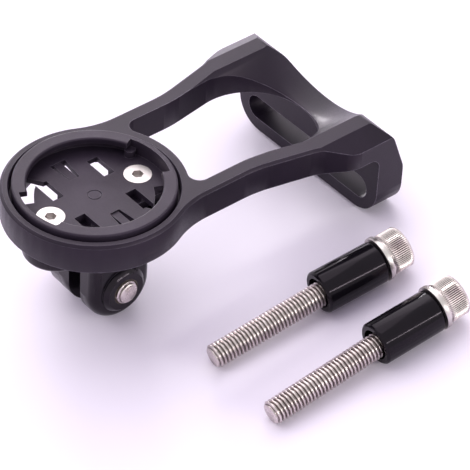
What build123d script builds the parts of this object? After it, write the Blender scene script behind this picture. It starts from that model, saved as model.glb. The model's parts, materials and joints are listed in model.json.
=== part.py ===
from build123d import *
from math import asin, atan2, cos, degrees, hypot, radians, sin, sqrt, tan
import os

# An out-front bicycle computer mount: a machined aluminium bracket that bolts to a
# one-piece handlebar, a moulded twist-lock socket in its ring, an action camera fork
# under the ring, and the two loose clamp bolts with their washers and spacers.
# Millimetres. The origin is the centre of the ring on the bracket's top plane.
# X is to the side, +Y runs back to the handlebar, +Z is up.

# Head ring of the bracket
RING_R = 18.0
RING_BORE_R = 16.25
BORE_CHAMFER = 0.25
BODY_T = 6.2
LEDGE_R = 14.4
LEDGE_T = 1.8
BAR_HALF_W = 5.2

# Arms, as half widths from the middle plane and places along Y
WAIST_HALF_W = 14.4
WAIST_END_Y = 27.9
SHOULDER_HALF_W = 17.3
SHOULDER_Y = 40.95
FLARE_END_Y = 47.7
GAP_HALF_W_FRONT = 11.2
GAP_SIDE_ANGLE = 8.5
GAP_END_Y = 52.15
JUNCTION_FILLET = 18.0
GAP_CORNER_FILLET = 2.25
GAP_END_ROUND = 0.985
ARM_BEND_R = 27.0
SHOULDER_BEND_R = 10.8
FLARE_BEND_R = 6.3
EDGE_CHAMFER = 0.55
HIDDEN_CORNER_R = 1.0
CUT_CLEARANCE = 0.002

# Rear plate
PLATE_HALF_W = 21.0
PLATE_FRONT_Y = 54.2
PLATE_T = 6.65
PLATE_DEPTH = 22.05
PLATE_CORNER_R = 6.3
PLATE_ROOT_FILLET = 2.35
FLAT_END_Y = 54.6
FLAT_END_ROUND_R = 1.5
SLOPE_RUN = 3.0
SLOPE_DROP = 2.75
BACK_TOP_Z = -11.25
BACK_BEND_R = 4.5
FACET_HALF_W = 17.1
FACET_DROP = 2.5
VALLEY_HALF_W = 13.8
VALLEY_DEPTH = 5.95
VALLEY_START_Y = 40.5
VALLEY_TIP_Y = 30.6
VALLEY_TIP_HALF_W = 11.35
VALLEY_BEND_Y = 52.8
VALLEY_FALL = 10.5
SLOT_HALF_L = 18.1
SLOT_H = 5.3
SLOT_Z = -16.65

# Twist-lock socket
GROOVE = 0.5
FLANGE_FIT = 0.1
SOCKET_PROUD = 0.9
SOCKET_FLOOR_T = 2.05
FLOOR_WEB_T = 1.1
LIP_R = 13.0
LIP_T = 1.25
LIP_EDGE_R = 0.35
CAVITY_R = 14.65
NOTCH_HALF_ANGLE = 24.4
SLOT_IN_X = 3.15
SLOT_OUT_X = 8.75
SLOT_LOW_Y = 4.85
SLOT_HIGH_Y = 7.3
RIM_GAP_IN_R = 11.45
RIM_GAP_OUT_R = 14.05
RIM_GAP_FROM = 25.0
RIM_GAP_TO = 58.0
TONGUE_ROOT_X = 6.1
TONGUE_TIP_X = 11.7
TONGUE_HALF_W = 0.85
TONGUE_TIP_HALF_W = 1.3
TONGUE_SLIT = 0.5
TONGUE_SINK = 0.3
STOP_R = 13.85
STOP_ANGLE = 113.0
STOP_BOSS_R = 1.1
STOP_BOSS_H = 1.45
CENTRE_MARK_R = 1.45
MARK_DEPTH = 0.15
MARK_W = 0.25

# Socket screws, M3 countersunk
SCREW_Y = 10.4
SCREW_HEAD_R = 2.75
SCREW_R = 1.5
SCREW_L = 8.0
SCREW_HEX = 2.0
SCREW_HEX_DEPTH = 1.2
SCREW_FIT = 0.1
HEAD_FIT = 0.06

# Camera fork under the ring
BASE_T = 5.5
BASE_HALF_W = 6.55
BASE_HALF_L = 15.65
BASE_EDGE_R = 1.1
FORK_GAP = 3.6
EAR_T = 3.2
EAR_R = 7.1
PIVOT_Y = 2.5
PIVOT_Z = -23.2
NEAR_EAR_EXTRA = 1.0
NEAR_EAR_EDGE_R = 2.0
FAR_BOSS_R = 7.0
FAR_BOSS_T = 3.5
FAR_BOSS_EDGE_R = 0.55
CAP_R = 4.95
CAP_T = 1.15
CAP_EDGE_R = 0.8

# Fork screw, M5, its washer and the threaded insert in the near ear
FORK_SCREW_R = 2.5
FORK_SCREW_TIP_X = 8.0
FORK_SCREW_FIT = 0.1
FORK_INSERT_R = 2.8
FORK_INSERT_L = 4.5
WASHER_R = 4.65
WASHER_T = 1.0
WASHER_HOLE_R = 2.65

# Threaded inserts for the socket screws
BASE_INSERT_R = 2.1
BASE_INSERT_L = 4.0
BASE_INSERT_SINK = 0.2
BASE_HOLE_DEPTH = 4.85

# Loose clamp bolts, M5 socket head, lying beside the bracket
BOLT_R = 2.5
BOLT_L = 40.0
BOLT_HEAD_R = 4.25
BOLT_HEAD_H = 5.0
BOLT_HEX = 4.0
BOLT_HEX_DEPTH = 2.5
BOLT_TIP_CHAMFER = 0.5
BOLT_HEAD_CHAMFER = 0.4
SPACER_R = 4.35
SPACER_HOLE_R = 3.1
SPACER_L = 14.0
SPACER_CHAMFER = 0.4
BOLT_PLACES = {"near": (28.3, 7.15, 6.0), "outer": (46.65, 6.1, 3.8)}  # tip X, tip Y, turn in degrees

# Places that follow from the sizes above
BODY_BOTTOM = -BODY_T
LEDGE_TOP = BODY_BOTTOM + LEDGE_T
SOCKET_R = RING_BORE_R - GROOVE
FLANGE_R = RING_BORE_R - FLANGE_FIT
FLOOR_TOP = LEDGE_TOP + SOCKET_FLOOR_T
BACK_Y = PLATE_FRONT_Y + PLATE_T
BASE_BOTTOM = BODY_BOTTOM - BASE_T
EAR_OUT_X = FORK_GAP / 2 + EAR_T
NEAR_EAR_OUT_X = EAR_OUT_X + NEAR_EAR_EXTRA
NEAR_FACE_X = NEAR_EAR_OUT_X + CAP_T
FAR_FACE_X = EAR_OUT_X + FAR_BOSS_T
FORK_HEAD_X = -(FAR_FACE_X + WASHER_T)

# How a round solid sits on its own origin
ON_BOTTOM = (Align.CENTER, Align.CENTER, Align.MIN)
ON_TOP = (Align.CENTER, Align.CENTER, Align.MAX)


def both_sides(points):
    """Close a half outline, given for +X from front to back, with its mirror image."""
    return list(points) + [(-x, y) for x, y in reversed(points)]


def rounded(points, radii):
    """A closed outline with its own radius at each corner."""
    return make_face(FilletPolyline(*points, radius=radii, close=True))


def near_corner(sketch, x, y):
    """The two corners of a sketch that lie at x and at -x, at this y."""
    return [v for v in sketch.vertices() if abs(abs(v.X) - x) < 0.3 and abs(v.Y - y) < 0.3]


def bracket_outline():
    """Ring, arms and rear plate seen from above, without the gap between the arms."""
    outer = [
        (WAIST_HALF_W, RING_R / 4),
        (WAIST_HALF_W, WAIST_END_Y),
        (SHOULDER_HALF_W, SHOULDER_Y),
        (PLATE_HALF_W, FLARE_END_Y),
        (PLATE_HALF_W, BACK_Y + PLATE_T),
    ]
    bends = [HIDDEN_CORNER_R, ARM_BEND_R, SHOULDER_BEND_R, FLARE_BEND_R, HIDDEN_CORNER_R]
    body = Circle(RING_R) + rounded(both_sides(outer), bends + bends[::-1])
    junction_y = sqrt(RING_R**2 - WAIST_HALF_W**2)
    return fillet(near_corner(body, WAIST_HALF_W, junction_y), JUNCTION_FILLET)


def arm_gap():
    """The gap between the arms seen from above, from the ring to its full round end."""
    end_half_w = GAP_HALF_W_FRONT + (GAP_END_Y - WAIST_END_Y) * tan(radians(GAP_SIDE_ANGLE))
    end_r = GAP_END_ROUND * end_half_w * tan(radians(90 - GAP_SIDE_ANGLE) / 2)
    inner = [(GAP_HALF_W_FRONT, RING_R / 4), (GAP_HALF_W_FRONT, WAIST_END_Y), (end_half_w, GAP_END_Y)]
    bends = [HIDDEN_CORNER_R, ARM_BEND_R, end_r]
    gap = rounded(both_sides(inner), bends + bends[::-1]) - Circle(RING_R)
    corner_y = sqrt(RING_R**2 - GAP_HALF_W_FRONT**2)
    return fillet(near_corner(gap, GAP_HALF_W_FRONT, corner_y), GAP_CORNER_FILLET)


def under_arms():
    """The space under the ring and arms, in front of the rear plate, in Y and Z."""
    front = -RING_R - 1
    below = -PLATE_DEPTH - 1
    points = [(front, BODY_BOTTOM), (PLATE_FRONT_Y, BODY_BOTTOM), (PLATE_FRONT_Y, below), (front, below)]
    radii = [HIDDEN_CORNER_R / 10, PLATE_ROOT_FILLET, HIDDEN_CORNER_R / 10, HIDDEN_CORNER_R / 10]
    return rounded(points, radii)


def behind_plate():
    """The space behind the rear plate and its sloping upper back, in Y and Z."""
    above = RING_R / 4
    below = -PLATE_DEPTH - 1
    far = BACK_Y + PLATE_T
    start = FLAT_END_Y - 2 * PLATE_T
    points = [
        (start, above),
        (start, CUT_CLEARANCE),
        (FLAT_END_Y, CUT_CLEARANCE),
        (FLAT_END_Y + SLOPE_RUN, -SLOPE_DROP),
        (BACK_Y, BACK_TOP_Z),
        (BACK_Y, below),
        (2 * far, below),
        (2 * far, above),
    ]
    hidden = HIDDEN_CORNER_R / 10
    bends = [hidden, hidden, FLAT_END_ROUND_R, BACK_BEND_R, BACK_BEND_R, hidden, hidden, hidden]
    return rounded(points, bends)


def facets(body):
    """Slope the top down from the flats to the plate's sides."""
    reach = 2 * PLATE_HALF_W
    fall = FACET_DROP / (PLATE_HALF_W - FACET_HALF_W)
    far_x = FACET_HALF_W + reach
    corners = [(FACET_HALF_W, 0), (far_x, -fall * reach), (far_x, reach), (FACET_HALF_W, reach)]
    wedge = make_face(Polyline(*corners, close=True))
    block = extrude(Plane.XZ.offset(-BACK_Y - 1) * wedge, BACK_Y + 1 - SHOULDER_Y / 2)
    return body - block - mirror(block, Plane.YZ)


def lower_corners(body):
    """Round the rear plate's two lower corners."""
    size = PLATE_CORNER_R + 1
    centre = Pos(PLATE_HALF_W - PLATE_CORNER_R, PLATE_CORNER_R - PLATE_DEPTH)
    corner = centre * (Pos(size / 2, -size / 2) * Rectangle(size, size) - Circle(PLATE_CORNER_R))
    block = extrude(Plane.XZ.offset(-BACK_Y - 1) * corner, PLATE_T + 2)
    return body - block - mirror(block, Plane.YZ)


def valley():
    """The hollow across the top: level ahead of the plate, tapering forward, falling behind."""
    r = (VALLEY_HALF_W**2 + VALLEY_DEPTH**2) / (2 * VALLEY_DEPTH)
    axis_z = r - VALLEY_DEPTH
    end = BACK_Y + 1
    level = Cylinder(r, end - VALLEY_START_Y, align=ON_BOTTOM)
    hollow = Pos(0, end, axis_z) * Rot(90, 0, 0) * level
    tip = Cone(r, hypot(axis_z, VALLEY_TIP_HALF_W), VALLEY_START_Y - VALLEY_TIP_Y, align=ON_BOTTOM)
    hollow += Pos(0, VALLEY_START_Y, axis_z) * Rot(90, 0, 0) * tip
    ahead = 2 * PLATE_T
    falling = Pos(0, -r, -ahead) * Cylinder(r, ahead + 3 * PLATE_T, align=ON_BOTTOM)
    return hollow + Pos(0, VALLEY_BEND_Y, -VALLEY_DEPTH) * Rot(-90 - VALLEY_FALL, 0, 0) * falling


def beside_bar(radius):
    """The two round-backed openings on either side of the bar across the ring."""
    return Circle(radius) - Rectangle(2 * BAR_HALF_W, 4 * RING_R)


def bracket():
    """Ring, arms and slotted rear plate, machined from one block."""
    outline = bracket_outline()
    level = Plane.XY.offset(-EDGE_CHAMFER)
    body = extrude(level * outline, EDGE_CHAMFER - PLATE_DEPTH)
    body += loft([level * outline.face(), offset(outline, -EDGE_CHAMFER).face()], ruled=True)
    body -= extrude(Plane.XY.offset(1) * arm_gap(), -PLATE_DEPTH)
    for space in (under_arms(), behind_plate()):
        body -= extrude(Plane.YZ * space, PLATE_HALF_W + 1, both=True)
    body = lower_corners(facets(body))
    body -= valley()
    slot = extrude(Plane.XZ * SlotOverall(2 * SLOT_HALF_L, SLOT_H), PLATE_T + 2, both=True)
    body -= Pos(0, PLATE_FRONT_Y + PLATE_T / 2, SLOT_Z) * slot
    body -= Pos(0, 0, LEDGE_TOP) * Cylinder(RING_BORE_R, BODY_T, align=ON_BOTTOM)
    bevel = Cone(RING_BORE_R, RING_BORE_R + 2 * BORE_CHAMFER, 2 * BORE_CHAMFER, align=ON_BOTTOM)
    body -= Pos(0, 0, -BORE_CHAMFER) * bevel
    body -= extrude(Plane.XY.offset(BODY_BOTTOM - 1) * beside_bar(LEDGE_R), LEDGE_T + 2)
    for side in (-1, 1):
        body -= Pos(0, side * SCREW_Y, BODY_BOTTOM) * Cylinder(SCREW_R + SCREW_FIT, 3 * LEDGE_T)
    return body


def polar(radius, angle):
    """A point at this radius, its angle measured from +Y towards +X."""
    return (radius * sin(radians(angle)), radius * cos(radians(angle)))


def sector(inner, outer, start, end):
    """A ring sector between two angles from +Y towards +X."""
    reach = 2 * outer
    middle = (start + end) / 2
    fan = [(0, 0), polar(reach, start), polar(reach, middle), polar(reach, end)]
    return (Circle(outer) - Circle(inner)) & make_face(Polyline(*fan, close=True))


def countersink(fit):
    """The cone under a screw's head, with its top at Z = 0."""
    return Cone(SCREW_R + fit, SCREW_HEAD_R + fit, SCREW_HEAD_R - SCREW_R, align=ON_TOP)


def socket_floor_cuts():
    """The slots, rim gaps and tongue slits through the socket's floor, for one half turn."""
    slot_w = SLOT_OUT_X - SLOT_IN_X
    slot_h = SLOT_HIGH_Y - SLOT_LOW_Y
    slot_x = (SLOT_IN_X + SLOT_OUT_X) / 2
    slot_y = (SLOT_LOW_Y + SLOT_HIGH_Y) / 2
    cuts = Pos(slot_x, slot_y) * Rectangle(slot_w, slot_h)
    cuts += Pos(slot_x, -slot_y) * Rectangle(slot_w, slot_h)
    cuts += sector(RIM_GAP_IN_R, RIM_GAP_OUT_R, RIM_GAP_FROM, RIM_GAP_TO)
    corner = polar(RIM_GAP_IN_R, RIM_GAP_TO - 6)
    cuts += make_face(Polyline(
        (SLOT_OUT_X - 1, SLOT_LOW_Y), (SLOT_OUT_X - 1, SLOT_HIGH_Y), (SLOT_OUT_X, SLOT_HIGH_Y),
        (corner[0] + 1, corner[1]), polar(RIM_GAP_IN_R + 1, RIM_GAP_TO), close=True))
    for side in (-1, 1):
        inner, outer = side * TONGUE_HALF_W, side * TONGUE_TIP_HALF_W
        cuts += make_face(Polyline(
            (TONGUE_ROOT_X, inner), (TONGUE_TIP_X, inner),
            (TONGUE_TIP_X, outer + side * TONGUE_SLIT), (TONGUE_ROOT_X, inner + side * TONGUE_SLIT / 2),
            close=True))
    return cuts


def lock_socket():
    """The moulded twist-lock socket: floor, rim wall and two lips with a notch front and rear."""
    wall_h = SOCKET_PROUD - FLOOR_TOP
    body = Pos(0, 0, LEDGE_TOP) * Cylinder(FLANGE_R, SOCKET_FLOOR_T, align=ON_BOTTOM)
    body -= extrude(Plane.XY.offset(LEDGE_TOP) * beside_bar(CAVITY_R), SOCKET_FLOOR_T - FLOOR_WEB_T)
    body += Pos(0, 0, FLOOR_TOP) * Cylinder(SOCKET_R, wall_h, align=ON_BOTTOM)
    body -= Pos(0, 0, FLOOR_TOP) * Cylinder(CAVITY_R, wall_h - LIP_T, align=ON_BOTTOM)
    body -= Pos(0, 0, SOCKET_PROUD) * Cylinder(LIP_R, LIP_T, align=ON_TOP)
    rims = [e for e in body.edges() if abs(e.center().Z - SOCKET_PROUD) < 0.01]
    body = fillet(rims, LIP_EDGE_R)
    notch = sector(LIP_R - 1, CAVITY_R, -NOTCH_HALF_ANGLE, NOTCH_HALF_ANGLE)
    cuts = socket_floor_cuts()
    for turn in (0, 180):
        half = Rot(0, 0, turn)
        body -= half * extrude(Plane.XY.offset(FLOOR_TOP) * notch, wall_h + 1)
        body -= half * extrude(Plane.XY.offset(LEDGE_TOP - 1) * cuts, SOCKET_FLOOR_T + 2)
        tongue_l = TONGUE_TIP_X - TONGUE_ROOT_X
        tongue = Box(tongue_l, 2 * TONGUE_HALF_W, TONGUE_SINK, align=(Align.MIN, Align.CENTER, Align.MAX))
        body -= half * Pos(TONGUE_ROOT_X, 0, FLOOR_TOP) * tongue
        x, y = polar(STOP_R, STOP_ANGLE - 90)
        body += half * Pos(-x, y, FLOOR_TOP) * Cylinder(STOP_BOSS_R, STOP_BOSS_H, align=ON_BOTTOM)
        body -= half * Pos(0, SCREW_Y, FLOOR_TOP) * countersink(HEAD_FIT)
        body -= half * Pos(0, SCREW_Y, LEDGE_TOP) * Cylinder(SCREW_R + SCREW_FIT, 3 * SOCKET_FLOOR_T)
    mark = Circle(CENTRE_MARK_R) - Circle(CENTRE_MARK_R - MARK_W)
    body -= extrude(Plane.XY.offset(FLOOR_TOP) * mark, -MARK_DEPTH)
    return body


def socket_screw(side):
    """A countersunk screw through the socket and the bar into the fork."""
    screw = countersink(0) + Cylinder(SCREW_R, SCREW_L, align=ON_TOP)
    screw = chamfer(screw.faces().sort_by(Axis.Z)[0].edges(), SCREW_R / 5)
    screw -= extrude(RegularPolygon(SCREW_HEX / 2, 6, major_radius=False), -SCREW_HEX_DEPTH)
    return Pos(0, side * SCREW_Y, FLOOR_TOP) * screw


def ear(inner_x, outer_x):
    """A fork ear between two X values: straight down from the base, round about the pivot."""
    outline = Pos(PIVOT_Y, PIVOT_Z) * Circle(EAR_R)
    outline += Pos(PIVOT_Y, (PIVOT_Z + BASE_BOTTOM) / 2) * Rectangle(2 * EAR_R, BASE_BOTTOM - PIVOT_Z)
    return extrude(Plane.YZ.offset(inner_x) * outline, outer_x - inner_x)


def disc(radius, from_x, to_x):
    """A disc about the fork's pivot between two X values."""
    return extrude(Plane.YZ.offset(from_x) * Pos(PIVOT_Y, PIVOT_Z) * Circle(radius), to_x - from_x)


def camera_fork():
    """The moulded fork: base under the ring, two ears and their outer bosses."""
    oblong = Rot(0, 0, 90) * SlotOverall(2 * BASE_HALF_L, 2 * BASE_HALF_W)
    base = extrude(Plane.XY.offset(BASE_BOTTOM) * oblong, BASE_T)
    base = fillet(base.faces().sort_by(Axis.Z)[0].edges(), BASE_EDGE_R)
    near = ear(FORK_GAP / 2, NEAR_EAR_OUT_X)
    outer_edges = near.faces().sort_by(Axis.X)[-1].edges()
    near = fillet(outer_edges.filter_by(lambda e: e.center().Z < BASE_BOTTOM - 1), NEAR_EAR_EDGE_R)
    cap = disc(CAP_R, NEAR_EAR_OUT_X - 1, NEAR_FACE_X)
    cap = chamfer(cap.faces().sort_by(Axis.X)[-1].edges(), CAP_EDGE_R)
    far = ear(-EAR_OUT_X, -FORK_GAP / 2)
    boss = disc(FAR_BOSS_R, -FAR_FACE_X, -EAR_OUT_X + 1)
    boss = chamfer(boss.faces().sort_by(Axis.X)[0].edges(), FAR_BOSS_EDGE_R)
    fork = base + near + cap + far + boss
    fork -= disc(FORK_SCREW_R + FORK_SCREW_FIT, -FAR_FACE_X - 1, NEAR_FACE_X + 1)
    fork -= disc(FORK_INSERT_R, NEAR_FACE_X - FORK_INSERT_L, NEAR_FACE_X + 1)
    for side in (-1, 1):
        hole = Cylinder(BASE_INSERT_R, BASE_HOLE_DEPTH, align=ON_TOP)
        fork -= Pos(0, side * SCREW_Y, BODY_BOTTOM) * hole
    return fork


def fork_thread_insert():
    """The threaded metal bush in the near ear, flush with its face."""
    start = NEAR_FACE_X - FORK_INSERT_L
    bore = disc(FORK_SCREW_R + FORK_SCREW_FIT / 2, start - 1, NEAR_FACE_X + 1)
    return disc(FORK_INSERT_R, start, NEAR_FACE_X) - bore


def base_thread_insert(side):
    """A threaded metal bush in the fork's base, for a socket screw."""
    bush = Cylinder(BASE_INSERT_R, BASE_INSERT_L, align=ON_TOP)
    bush -= Cylinder(SCREW_R + SCREW_FIT / 2, 3 * BASE_INSERT_L)
    return Pos(0, side * SCREW_Y, BODY_BOTTOM - BASE_INSERT_SINK) * bush


def cap_screw(radius, length, head_r, head_h, hex_size, hex_depth):
    """A socket head screw along +Z: tip at Z = 0, head above Z = length."""
    shank = Cylinder(radius, length, align=ON_BOTTOM)
    shank = chamfer(shank.faces().sort_by(Axis.Z)[0].edges(), BOLT_TIP_CHAMFER)
    head = Pos(0, 0, length) * Cylinder(head_r, head_h, align=ON_BOTTOM)
    head = chamfer(head.faces().sort_by(Axis.Z)[-1].edges(), BOLT_HEAD_CHAMFER)
    socket = Plane.XY.offset(length + head_h) * RegularPolygon(hex_size / 2, 6, major_radius=False)
    return shank + head - extrude(socket, -hex_depth)


def washer():
    """A flat washer on Z, its lower face at Z = 0."""
    ring = Cylinder(WASHER_R, WASHER_T, align=ON_BOTTOM) - Cylinder(WASHER_HOLE_R, 3 * WASHER_T)
    return ring


def across_fork():
    """Place for a screw whose tip points to +X through the fork's pivot, its tip at the origin."""
    return Pos(FORK_SCREW_TIP_X, PIVOT_Y, PIVOT_Z) * Rot(0, -90, 0)


def fork_screw():
    """The cross screw that pinches a camera's tab between the ears."""
    length = FORK_SCREW_TIP_X - FORK_HEAD_X
    head = (BOLT_HEAD_R, BOLT_HEAD_H, BOLT_HEX, BOLT_HEX_DEPTH)
    return across_fork() * cap_screw(FORK_SCREW_R, length, *head)


def fork_washer():
    """The washer under the cross screw's head, against the far boss."""
    return Pos(-FAR_FACE_X, PIVOT_Y, PIVOT_Z) * Rot(0, -90, 0) * washer()


def floor_slope():
    """Slope of the surface below: it touches the fork's round end and the plate's lower back edge."""
    dy = BACK_Y - PIVOT_Y
    dz = -PLATE_DEPTH - PIVOT_Z
    return asin(EAR_R / hypot(dy, dz)) + atan2(dz, dy)


def bolt_lean():
    """How far a loose bolt rises from its tip to its washer, which both touch the surface below."""
    return degrees(asin((WASHER_R - BOLT_R) / (BOLT_L - WASHER_T)))


def resting_place(name):
    """A place on the surface below, under a loose bolt's tip, with +Y along the bolt."""
    x, y, turn = BOLT_PLACES[name]
    slope = floor_slope()
    surface_z = -PLATE_DEPTH + (y - BACK_Y) * tan(slope)
    return Pos(x, y, surface_z) * Rot(degrees(slope), 0, 0) * Rot(0, 0, -turn)


def bolt_place(name):
    """Place for a loose bolt along +Z from its tip."""
    lean = bolt_lean()
    return resting_place(name) * Pos(0, 0, BOLT_R / cos(radians(lean))) * Rot(lean - 90, 0, 0)


def clamp_bolt(name):
    """A loose clamp bolt."""
    return bolt_place(name) * cap_screw(BOLT_R, BOLT_L, BOLT_HEAD_R, BOLT_HEAD_H, BOLT_HEX, BOLT_HEX_DEPTH)


def clamp_washer(name):
    """The washer under a loose bolt's head."""
    return bolt_place(name) * Pos(0, 0, BOLT_L - WASHER_T) * washer()


def clamp_spacer(name):
    """The plain round spacer that lies flat round a loose bolt, pushed up to its washer."""
    tube = Cylinder(SPACER_R, SPACER_L, align=ON_BOTTOM)
    tube -= Cylinder(SPACER_HOLE_R, 3 * SPACER_L)
    rims = [e for e in tube.edges() if e.geom_type == GeomType.CIRCLE and abs(e.radius - SPACER_R) < 0.01]
    tube = chamfer(rims, SPACER_CHAMFER)
    lean = radians(bolt_lean())
    washer_l = BOLT_L - WASHER_T
    washer_z = BOLT_R / cos(lean) + washer_l * sin(lean)
    rim_z = 2 * SPACER_R - SPACER_CHAMFER
    end_y = washer_l * cos(lean) - (rim_z - washer_z) * tan(lean)
    return resting_place(name) * Pos(0, end_y - SPACER_L, SPACER_R) * Rot(-90, 0, 0) * tube


parts = {
    "bracket": bracket(),
    "lock_socket": lock_socket(),
    "socket_screw_front": socket_screw(-1),
    "socket_screw_rear": socket_screw(1),
    "camera_fork": camera_fork(),
    "fork_screw": fork_screw(),
    "fork_washer": fork_washer(),
    "fork_thread_insert": fork_thread_insert(),
    "base_thread_insert_front": base_thread_insert(-1),
    "base_thread_insert_rear": base_thread_insert(1),
}
for name in BOLT_PLACES:
    parts[f"clamp_bolt_{name}"] = clamp_bolt(name)
    parts[f"clamp_washer_{name}"] = clamp_washer(name)
    parts[f"clamp_spacer_{name}"] = clamp_spacer(name)

for name, part in parts.items():
    part.label = name
    export_step(part, f"parts/{name}.step")
print("floor slope in degrees", round(degrees(floor_slope()), 3))
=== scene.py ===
import bpy
import json
from math import asin, atan2, cos, hypot, pi, radians, sin, tan
from mathutils import Matrix, Vector


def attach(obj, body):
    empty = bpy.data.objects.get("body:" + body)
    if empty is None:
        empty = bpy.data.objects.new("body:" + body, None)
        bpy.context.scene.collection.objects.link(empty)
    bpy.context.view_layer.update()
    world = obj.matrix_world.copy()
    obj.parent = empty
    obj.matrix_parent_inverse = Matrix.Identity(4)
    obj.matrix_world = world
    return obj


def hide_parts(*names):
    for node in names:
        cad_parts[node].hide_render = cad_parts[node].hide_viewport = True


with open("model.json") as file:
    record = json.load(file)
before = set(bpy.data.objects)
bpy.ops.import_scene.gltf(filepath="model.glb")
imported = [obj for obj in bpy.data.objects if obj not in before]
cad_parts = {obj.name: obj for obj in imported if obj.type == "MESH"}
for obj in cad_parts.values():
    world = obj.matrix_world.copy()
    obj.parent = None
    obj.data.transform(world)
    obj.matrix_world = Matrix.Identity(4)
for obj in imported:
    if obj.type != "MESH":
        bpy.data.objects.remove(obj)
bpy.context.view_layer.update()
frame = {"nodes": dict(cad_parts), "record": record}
nodes = frame["nodes"]
MM = 0.001

# Camera, fitted to the photograph: angles in degrees, lengths in millimetres
IMAGE_PX = 470
FOCAL_PX = 3000.0
CAM_AZIMUTH = 48.1
CAM_ELEVATION = 40.65
CAM_ROLL = 3.25
CAM_DISTANCE = 555.3
CAM_TARGET = (27.765, 11.295, 0.9)
SENSOR_MM = 36.0
CLIP_NEAR_M = 0.01
CLIP_FAR_M = 20

# The surface below touches the fork's round end and the plate's lower back edge, in millimetres
FORK_PIVOT_Y = 2.5
FORK_PIVOT_Z = -23.2
FORK_END_R = 7.1
PLATE_BACK_Y = 60.85
PLATE_BOTTOM_Z = -22.05
FLOOR_HALF_M = 2.0

# M5 socket head screws, in millimetres
SCREW_R = 2.5
WASHER_R = 4.65
WASHER_T = 1.0
BOLT_L = 40.0
FORK_SCREW_TIP_X = 8.0
FORK_SCREW_L = 17.5

# Where the loose bolts lie: the tip's X and Y in millimetres, and degrees from +Y towards +X
BOLT_PLACES = {"near": (28.3, 7.15, 6.0), "outer": (46.65, 6.1, 3.8)}

# Thread in millimetres: a V-shaped wave made steeper by the taper, then lowered by the sink and
# cut flat at root and crest, with its mesh's sides round the shank and rows to a pitch
THREAD_ROOT_R = 1.98
THREAD_CREST_R = 2.47
THREAD_PITCH = 0.8
THREAD_TAPER = 2.4
THREAD_SINK = 0.7
THREAD_SIDES = 40
THREAD_ROWS = 12
TIP_R = 1.95

# Screw head in millimetres: its outline as radii and heights from the neck to the face, and the
# share of the knurl's depth cut away at each point of a tooth
HEAD_R = 4.25
HEAD_H = 5.0
COLLAR_R = 3.9
COLLAR_OUTLINE = [(2.3, 0), (COLLAR_R - 0.2, 0), (COLLAR_R, 0.2), (COLLAR_R, 0.7)]
RIM_OUTLINE = [(4.0, HEAD_H - 0.22), (3.8, HEAD_H - 0.06), (3.55, HEAD_H), (3.2, HEAD_H)]
KNURL_START = 0.9
KNURL_END = HEAD_H - 0.5
KNURL_DEPTH = 0.2
KNURL_TEETH = 64
KNURL_ROWS = 6
KNURL_PROFILE = (1, 0.5, 0, 0.5)
HEX_ACROSS = 4.0
HEX_DEPTH = 2.5
HEX_CHAMFER_W = 0.12
HEX_CHAMFER_H = 0.15
SPLIT_ANGLE = 50

# How far sharp edges of the CAD nodes are softened, in millimetres, and above how many degrees
SOFT_EDGE_W = {
    "anodised_bracket": 0.16,
    "socket_plastic": 0.1,
    "fork_plastic": 0.25,
    "stainless": 0.08,
    "bush_metal": 0.05,
    "spacer_black": 0.1,
}
SOFT_EDGE_ANGLE = 32
WELD_MM = 0.005

# Finishes: noise scales are per metre, depths and radii in metres. An edge is lightened, partly as
# real rubbing and partly as a painted highlight, where the rounded normal's dot product with the
# flat one falls to the first of the two dot limits
CLOUD_SCALE = 90
WEAR_HIGHLIGHT_SCALE = 700
WEAR_HIGHLIGHT_RADIUS = 0.00022
WEAR_HIGHLIGHT_LEAST = 0.4
WEAR_HIGHLIGHT_DOTS = (0.86, 0.99)
GRAIN_DEPTH = 0.00003
METAL_LINE_SCALE = 2500
METAL_CLOUD_SCALE = 260
METAL_RELIEF = 0.2
METAL_DEPTH = 0.00002
# Pointiness range over which the thread's groove is darkened with painted shade
GROOVE_SHADE_POINTINESS = (0.455, 0.512)

# Black anodising and black plastic shine with a faint violet
SHEEN_TINT = (1, 0.86, 1, 1)

# The floor in two tones where it is seen, and the greyer one by which it lights the part
FLOOR_SEEN = (0.985, 0.965, 0.99)
FLOOR_SEEN_2 = (0.975, 0.955, 0.985)
FLOOR_UNSEEN = (0.68, 0.66, 0.7)
FLOOR_SCALE = 6
FLOOR_ROUGH = 0.7
FLOOR_SPECULAR = 0.1

# The world lights the part in lilac, more from WORLD_SIDE, and is seen as white
WORLD_COLOUR = (0.88, 0.77, 1, 1)
WORLD_SIDE = (-0.8, 0.3, -0.25)
WORLD_RAMP = {"From Min": -0.6, "From Max": 0.5, "To Min": 0.5, "To Max": 1.15}
WORLD_SEEN = (1, 1, 1, 1)

# Softboxes: direction from the part, distance and two sides in metres, watts, colour, and the
# line of the second side
LAMP_AIM = (10, 25, 0)
LAMPS = {
    "key": ((-0.62, -0.12, 0.78), 1.0, (1.6, 1.6), 10.5, (1, 0.96, 1), (1, 1, 0)),
    "back_panel": ((-0.565, 0.507, 0.651), 1.0, (0.8, 0.8), 1.6, (1, 0.94, 1), (1, 1, 0)),
    "low_back": ((-0.85, 0.5, 0.1), 1.0, (0.5, 0.2), 6, (1, 0.97, 1), (0.5, 0.85, 0)),
    "strip": ((0.86, 0.3, 0.42), 0.8, (0.03, 0.7), 2.0, (1, 0.98, 0.97), (0, 1, 0)),
}


def floor_slope():
    """Slope of the surface below, rising along +Y."""
    dy = PLATE_BACK_Y - FORK_PIVOT_Y
    dz = PLATE_BOTTOM_Z - FORK_PIVOT_Z
    return asin(FORK_END_R / hypot(dy, dz)) + atan2(dz, dy)


def shift(x, y, z):
    """A move by millimetres."""
    return Matrix.Translation((x * MM, y * MM, z * MM))


def turn(angle, axis):
    """A turn in radians about X, Y or Z."""
    return Matrix.Rotation(angle, 4, axis)


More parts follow.
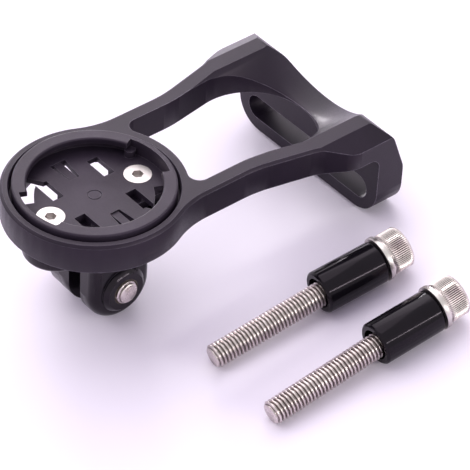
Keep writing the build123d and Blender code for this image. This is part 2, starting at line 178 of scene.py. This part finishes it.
def bolt_place(name):
    """Where a loose bolt lies on its washer and tip, along +Z from its tip."""
    x, y, heading = BOLT_PLACES[name]
    lean = asin((WASHER_R - SCREW_R) / (BOLT_L - WASHER_T))
    surface_z = PLATE_BOTTOM_Z + (y - PLATE_BACK_Y) * tan(floor_slope())
    rest = shift(x, y, surface_z) @ turn(floor_slope(), "X") @ turn(-radians(heading), "Z")
    return rest @ shift(0, 0, SCREW_R / cos(lean)) @ turn(lean - pi / 2, "X")


def add_camera():
    """A camera at the photograph's angle, with its lens for a square frame."""
    a, e, r = radians(CAM_AZIMUTH), radians(CAM_ELEVATION), radians(CAM_ROLL)
    back = Vector((sin(a) * cos(e), -cos(a) * cos(e), sin(e)))
    side = Vector((0, 0, 1)).cross(back).normalized()
    up = back.cross(side)
    right = cos(r) * side + sin(r) * up
    top = -sin(r) * side + cos(r) * up
    facing = Matrix((right, top, back)).transposed().to_4x4()
    place = Vector(CAM_TARGET) * MM + back * CAM_DISTANCE * MM
    data = bpy.data.cameras.new("camera")
    data.sensor_width = SENSOR_MM
    data.lens = FOCAL_PX / IMAGE_PX * SENSOR_MM
    data.clip_start = CLIP_NEAR_M
    data.clip_end = CLIP_FAR_M
    camera = bpy.data.objects.new("camera", data)
    camera.matrix_world = Matrix.Translation(place) @ facing
    bpy.context.scene.collection.objects.link(camera)
    bpy.context.scene.camera = camera


class Look:
    """A material's node tree, with short ways to add and join nodes."""

    def __init__(self, name):
        self.material = bpy.data.materials.new(name)
        self.material.use_nodes = True
        self.tree = self.material.node_tree
        self.shader = self.tree.nodes["Principled BSDF"]
        coords = self.tree.nodes.new("ShaderNodeTexCoord")
        self.position = coords.outputs["Object"]

    def node(self, kind, **values):
        """A new node with these values on its input sockets."""
        node = self.tree.nodes.new(kind)
        for name, value in values.items():
            node.inputs[name].default_value = value
        return node

    def join(self, source, target):
        """A link from an output socket to an input socket."""
        self.tree.links.new(source, target)

    def noise(self, scale, detail):
        """Noise in the piece's own space; the scale is per metre."""
        noise = self.node("ShaderNodeTexNoise", Scale=scale, Detail=detail)
        self.join(self.position, noise.inputs["Vector"])
        return noise.outputs["Fac"]

    def between(self, factor, low, high, start=0.3, end=0.7):
        """A number that runs from low to high as the factor runs from start to end."""
        ranged = self.node("ShaderNodeMapRange", **{
            "From Min": start, "From Max": end, "To Min": low, "To Max": high})
        self.join(factor, ranged.inputs["Value"])
        return ranged.outputs["Result"]

    def mix(self, factor, first, second):
        """A colour between two colours or colour sockets."""
        mixed = self.tree.nodes.new("ShaderNodeMixRGB")
        self.join(factor, mixed.inputs["Fac"])
        for socket, value in ((mixed.inputs["Color1"], first), (mixed.inputs["Color2"], second)):
            if isinstance(value, tuple):
                socket.default_value = (*value, 1)
            else:
                self.join(value, socket)
        return mixed.outputs["Color"]

    def edges(self, radius):
        """One near a sharp edge and zero on a face, from a rounded normal."""
        bevel = self.node("ShaderNodeBevel", Radius=radius)
        bevel.samples = 6
        flat = self.tree.nodes.new("ShaderNodeNewGeometry")
        dot = self.tree.nodes.new("ShaderNodeVectorMath")
        dot.operation = "DOT_PRODUCT"
        self.join(bevel.outputs["Normal"], dot.inputs[0])
        self.join(flat.outputs["Normal"], dot.inputs[1])
        return self.between(dot.outputs["Value"], 1, 0, *WEAR_HIGHLIGHT_DOTS)

    def groove_shade_mask(self, deepest, level):
        """One in each groove and zero on faces and crests, from the mesh's own shape, for painted
        shade.
        """
        shape = self.tree.nodes.new("ShaderNodeNewGeometry")
        return self.between(shape.outputs["Pointiness"], 1, 0, deepest, level)

    def bump(self, height, strength, distance):
        """A fine relief, its distance in metres."""
        bump = self.node("ShaderNodeBump", Strength=strength, Distance=distance)
        self.join(height, bump.inputs["Height"])
        self.join(bump.outputs["Normal"], self.shader.inputs["Normal"])


def worn_with_edge_highlight(name, colours, edge, rough, grain, wear_and_highlight, specular, relief=0.2):
    """A finish with clouded colour, uneven roughness, a fine grain, and edges lightened partly by real
    rubbing and partly as a painted highlight.
    """
    look = Look(name)
    specks = look.noise(grain, 3)
    colour = look.mix(look.between(look.noise(CLOUD_SCALE, 4), 0, 1), *colours)
    wear_and_highlight_patches = look.between(look.noise(WEAR_HIGHLIGHT_SCALE, 4), wear_and_highlight * WEAR_HIGHLIGHT_LEAST, wear_and_highlight)
    # Lightened edges: partly real rubbing, partly a painted highlight
    rim = look.tree.nodes.new("ShaderNodeMath")
    rim.operation = "MULTIPLY"
    look.join(look.edges(WEAR_HIGHLIGHT_RADIUS), rim.inputs[0])
    look.join(wear_and_highlight_patches, rim.inputs[1])
    look.join(look.mix(rim.outputs["Value"], colour, edge), look.shader.inputs["Base Color"])
    look.join(look.between(specks, *rough), look.shader.inputs["Roughness"])
    look.shader.inputs["Specular IOR Level"].default_value = specular
    look.shader.inputs["Specular Tint"].default_value = SHEEN_TINT
    look.bump(specks, relief, GRAIN_DEPTH)
    return look.material


def brushed(name, colours, rough, groove_shade=None):
    """Bare metal with a fine grain and small changes of shine, each groove darkened with painted shade.
    """
    look = Look(name)
    lines = look.noise(METAL_LINE_SCALE, 3)
    metal = look.mix(look.between(look.noise(METAL_CLOUD_SCALE, 3), 0, 1), *colours)
    if groove_shade:
        metal = look.mix(look.groove_shade_mask(*GROOVE_SHADE_POINTINESS), metal, groove_shade)
    look.join(metal, look.shader.inputs["Base Color"])
    look.join(look.between(lines, *rough), look.shader.inputs["Roughness"])
    look.shader.inputs["Metallic"].default_value = 1
    look.bump(lines, METAL_RELIEF, METAL_DEPTH)
    return look.material


def seen_directly(tree):
    """One for camera, glossy and transmission rays, which show the pale background."""
    path = tree.nodes.new("ShaderNodeLightPath")
    seen = path.outputs["Is Camera Ray"]
    for ray in ("Is Glossy Ray", "Is Transmission Ray"):
        either = tree.nodes.new("ShaderNodeMath")
        either.operation = "MAXIMUM"
        tree.links.new(seen, either.inputs[0])
        tree.links.new(path.outputs[ray], either.inputs[1])
        seen = either.outputs["Value"]
    return seen


def pale_surface():
    """A plain white surface that lights the part less than it shows."""
    look = Look("pale_surface")
    tone = look.mix(look.between(look.noise(FLOOR_SCALE, 2), 0, 1), FLOOR_SEEN, FLOOR_SEEN_2)
    colour = look.mix(seen_directly(look.tree), FLOOR_UNSEEN, tone)
    look.join(colour, look.shader.inputs["Base Color"])
    look.shader.inputs["Roughness"].default_value = FLOOR_ROUGH
    look.shader.inputs["Specular IOR Level"].default_value = FLOOR_SPECULAR
    return look.material


def add_floor():
    """A large pale floor in the resting plane."""
    half = FLOOR_HALF_M
    corners = [(-half, -half, 0), (half, -half, 0), (half, half, 0), (-half, half, 0)]
    mesh = bpy.data.meshes.new("floor")
    mesh.from_pydata(corners, [], [(0, 1, 2, 3)])
    mesh.materials.append(pale_surface())
    surface = bpy.data.objects.new("floor", mesh)
    surface.matrix_world = shift(0, PLATE_BACK_Y, PLATE_BOTTOM_Z) @ turn(floor_slope(), "X")
    bpy.context.scene.collection.objects.link(surface)


def add_lamp(name, direction, distance, size, power, colour, along):
    """A softbox that faces the part from a direction, its second side along a line."""
    data = bpy.data.lights.new(name, "AREA")
    data.shape = "RECTANGLE"
    data.size, data.size_y = size
    data.energy = power
    data.color = colour
    back = Vector(direction).normalized()
    side = Vector(along).cross(back).normalized()
    top = back.cross(side)
    facing = Matrix((side, top, back)).transposed().to_4x4()
    place = Vector(LAMP_AIM) * MM + back * distance
    lamp = bpy.data.objects.new(name, data)
    lamp.matrix_world = Matrix.Translation(place) @ facing
    bpy.context.scene.collection.objects.link(lamp)


def add_world():
    """Lilac light from all round, stronger from one side, behind a white background."""
    world = bpy.data.worlds.new("world")
    world.use_nodes = True
    bpy.context.scene.world = world
    tree = world.node_tree
    light = tree.nodes["Background"]
    light.inputs["Color"].default_value = WORLD_COLOUR
    coords = tree.nodes.new("ShaderNodeTexCoord")
    side = tree.nodes.new("ShaderNodeVectorMath")
    side.operation = "DOT_PRODUCT"
    side.inputs[1].default_value = WORLD_SIDE
    tree.links.new(coords.outputs["Generated"], side.inputs[0])
    strength = tree.nodes.new("ShaderNodeMapRange")
    for name, value in WORLD_RAMP.items():
        strength.inputs[name].default_value = value
    tree.links.new(side.outputs["Value"], strength.inputs["Value"])
    tree.links.new(strength.outputs["Result"], light.inputs["Strength"])
    white = tree.nodes.new("ShaderNodeBackground")
    white.inputs["Color"].default_value = WORLD_SEEN
    white.inputs["Strength"].default_value = 1
    choice = tree.nodes.new("ShaderNodeMixShader")
    tree.links.new(seen_directly(tree), choice.inputs["Fac"])
    tree.links.new(light.outputs["Background"], choice.inputs[1])
    tree.links.new(white.outputs["Background"], choice.inputs[2])
    tree.links.new(choice.outputs["Shader"], tree.nodes["World Output"].inputs["Surface"])


def new_piece(name, points, faces, material, body):
    """A mesh object, given in millimetres, that belongs to the part."""
    mesh = bpy.data.meshes.new(name)
    mesh.from_pydata([tuple(c * MM for c in p) for p in points], [], faces)
    mesh.polygons.foreach_set("use_smooth", [True] * len(mesh.polygons))
    mesh.materials.append(material)
    piece = bpy.data.objects.new(name, mesh)
    bpy.context.scene.collection.objects.link(piece)
    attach(piece, body)
    return piece


def ring_walls(rows, sides):
    """Faces between closed rows of points that follow each other."""
    faces = []
    for row in range(rows - 1):
        for k in range(sides):
            a, b = row * sides + k, row * sides + (k + 1) % sides
            faces.append((a, b, b + sides, a + sides))
    return faces


def thread_mesh(length):
    """A screw's threaded shank from its tip at Z = 0, as a helical ridge on a cylinder."""
    rows = int(length / THREAD_PITCH * THREAD_ROWS) + 1
    points = []
    for row in range(rows):
        z = length * row / (rows - 1)
        for k in range(THREAD_SIDES):
            phase = (z / THREAD_PITCH - k / THREAD_SIDES) % 1
            ridge = min(1, max(0, THREAD_TAPER * abs(2 * phase - 1) - THREAD_SINK))
            r = THREAD_ROOT_R + (THREAD_CREST_R - THREAD_ROOT_R) * ridge
            r = min(r, TIP_R + z)
            angle = 2 * pi * k / THREAD_SIDES
            points.append((r * cos(angle), r * sin(angle), z))
    faces = ring_walls(rows, THREAD_SIDES)
    faces.append(tuple(reversed(range(THREAD_SIDES))))
    last = (rows - 1) * THREAD_SIDES
    faces.append(tuple(range(last, last + THREAD_SIDES)))
    return points, faces


def hexagon_r(angle, across):
    """Distance from the middle to a hexagon's side in this direction."""
    sector = pi / 3
    return across / 2 / cos((angle + sector / 2) % sector - sector / 2)


def head_mesh(base_z):
    """A socket head with a smooth collar, a straight knurl and a hexagon socket."""
    steps = len(KNURL_PROFILE)
    sides = KNURL_TEETH * steps
    heights = [KNURL_START + (KNURL_END - KNURL_START) * k / KNURL_ROWS for k in range(KNURL_ROWS + 1)]
    rows = [(r, z, 0) for r, z in COLLAR_OUTLINE]
    rows += [(HEAD_R, z, KNURL_DEPTH) for z in heights]
    rows += [(r, z, 0) for r, z in RIM_OUTLINE]
    hex_rows = [(HEX_CHAMFER_W, HEAD_H), (0, HEAD_H - HEX_CHAMFER_H), (0, HEAD_H - HEX_DEPTH)]
    points = []
    for outer, z, depth in rows:
        for k in range(sides):
            angle = 2 * pi * k / sides
            r = outer - depth * KNURL_PROFILE[k % steps]
            points.append((r * cos(angle), r * sin(angle), base_z + z))
    for grow, z in hex_rows:
        for k in range(sides):
            angle = 2 * pi * k / sides
            r = hexagon_r(angle, HEX_ACROSS) + grow
            points.append((r * cos(angle), r * sin(angle), base_z + z))
    count = len(rows) + len(hex_rows)
    faces = ring_walls(count, sides)
    faces.append(tuple(range((count - 1) * sides, count * sides)))
    return points, faces


def threaded_screw(name, length, place, body, node):
    """A full screw made of shank and head, in place of its plain solid."""
    points, faces = thread_mesh(length)
    head_points, head_faces = head_mesh(length)
    start = len(points)
    points += head_points
    faces += [tuple(start + k for k in face) for face in head_faces]
    screw = new_piece(name, points, faces, THREADED_STEEL, body)
    screw.data.transform(place)
    split = screw.modifiers.new("edges", "EDGE_SPLIT")
    split.split_angle = radians(SPLIT_ANGLE)
    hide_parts(node)


def soften_edges(node, width):
    """Small rounds on a CAD node's sharp edges, as modifiers on its unchanged mesh."""
    weld = node.modifiers.new("weld", "WELD")
    weld.merge_threshold = WELD_MM * MM
    bevel = node.modifiers.new("soft_edges", "BEVEL")
    bevel.width = width * MM
    bevel.segments = 2
    bevel.limit_method = "ANGLE"
    bevel.angle_limit = radians(SOFT_EDGE_ANGLE)
    bevel.use_clamp_overlap = True
    bevel.harden_normals = True


# The edge colour of each finish lightens its edges: partly real rubbing, partly a painted highlight
MATERIALS = {
    "anodised_bracket": worn_with_edge_highlight(
        "anodised_bracket", colours=((0.01, 0.007, 0.013), (0.016, 0.011, 0.02)),
        edge=(0.42, 0.38, 0.45), rough=(0.34, 0.44), grain=3200, wear_and_highlight=0.7, specular=0.26),
    "socket_plastic": worn_with_edge_highlight(
        "socket_plastic", colours=((0.013, 0.009, 0.016), (0.03, 0.023, 0.035)),
        edge=(0.2, 0.19, 0.21), rough=(0.4, 0.52), grain=2600, wear_and_highlight=0.4, specular=0.3),
    "fork_plastic": worn_with_edge_highlight(
        "fork_plastic", colours=((0.007, 0.0055, 0.008), (0.011, 0.009, 0.0125)),
        edge=(0.2, 0.19, 0.21), rough=(0.15, 0.22), grain=900, wear_and_highlight=0.45, specular=0.24, relief=0.06),
    "stainless": brushed(
        "stainless", colours=((0.5, 0.46, 0.45), (0.62, 0.58, 0.57)), rough=(0.3, 0.4)),
    "bush_metal": brushed(
        "bush_metal", colours=((0.07, 0.06, 0.045), (0.13, 0.11, 0.08)), rough=(0.28, 0.42)),
    "spacer_black": worn_with_edge_highlight(
        "spacer_black", colours=((0.004, 0.0035, 0.005), (0.007, 0.006, 0.008)),
        edge=(0.06, 0.058, 0.064), rough=(0.1, 0.16), grain=1500, wear_and_highlight=0.3, specular=0.16, relief=0.03),
}
# Threaded steel; its groove colour is a painted shade
THREADED_STEEL = brushed(
    "threaded_steel", colours=((0.54, 0.47, 0.465), (0.7, 0.63, 0.62)), rough=(0.24, 0.36),
    groove_shade=(0.035, 0.02, 0.018))

for part in frame["record"]["subparts"]:
    slot = part["material_slot"]
    node = nodes[part["node"]]
    node.data.materials.clear()
    node.data.materials.append(MATERIALS[slot])
    soften_edges(node, SOFT_EDGE_W[slot])

for name in BOLT_PLACES:
    threaded_screw(f"threaded_bolt_{name}", BOLT_L, bolt_place(name), "root", f"clamp_bolt_{name}")
across = shift(FORK_SCREW_TIP_X, FORK_PIVOT_Y, FORK_PIVOT_Z) @ turn(-pi / 2, "Y")
threaded_screw("threaded_fork_screw", FORK_SCREW_L, across, "cross_screw", "fork_screw")

add_camera()
add_floor()
add_world()
for name, settings in LAMPS.items():
    add_lamp(name, *settings)
bpy.context.scene.view_settings.view_transform = "Standard"
